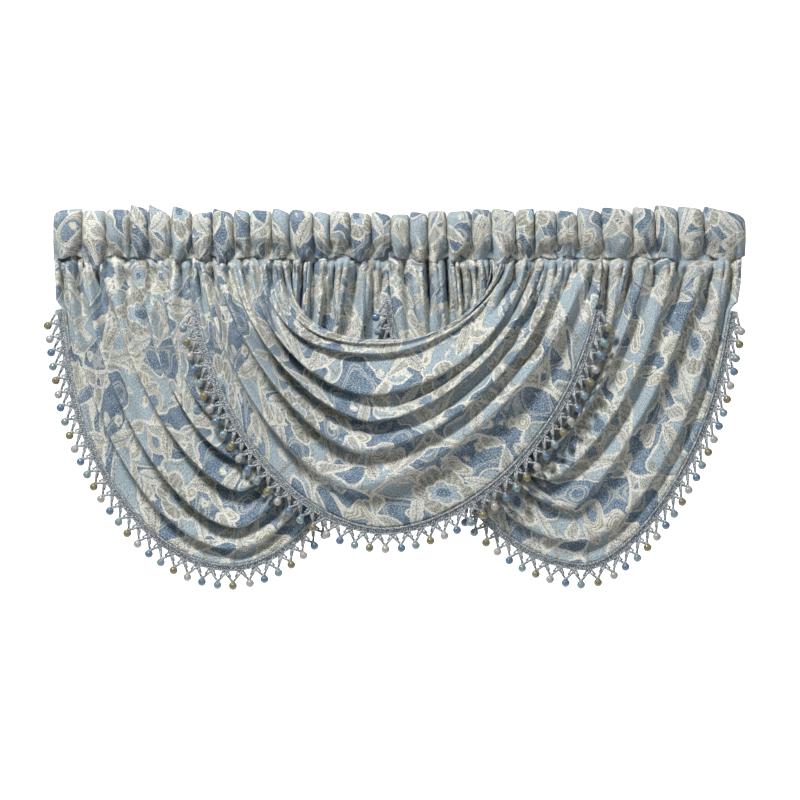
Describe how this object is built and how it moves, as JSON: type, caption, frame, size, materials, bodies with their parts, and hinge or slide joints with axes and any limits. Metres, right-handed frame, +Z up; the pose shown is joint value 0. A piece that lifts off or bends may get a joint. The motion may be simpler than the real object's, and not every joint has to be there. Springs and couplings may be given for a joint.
{
  "type": "waterfall valance",
  "caption": "Set of draped waterfall swags with gathered rod pockets and a bead fringe, in one row on a curtain rod.",
  "frame": {"origin": "middle of the valance's top edge, over the centre line of the rod that it hangs on", "axes": "+X along the rod to the right as seen from the room, +Y away from the viewer towards the window, +Z up"},
  "size_m": [1.4527, 0.1147, 0.7725],
  "materials": {
    "jacquard": "matt woven jacquard, denim blue and duck-egg ground with cream scrolls and taupe flowers",
    "fringe": "grey-blue gimp braid and crossed threads with satin yarn-wound beads in blue, aqua, olive and pearl"
  },
  "bodies": {
    "root": {"pocket_left_outer": "jacquard", "pocket_centre_left": "jacquard", "pocket_left_inner": "jacquard", "pocket_right_inner": "jacquard", "pocket_centre_right": "jacquard", "pocket_right_outer": "jacquard", "swag_left": "jacquard", "swag_centre": "jacquard", "swag_right": "jacquard", "fringe_left": "fringe", "fringe_centre": "fringe", "fringe_right": "fringe"}
  },
  "joints": []
}
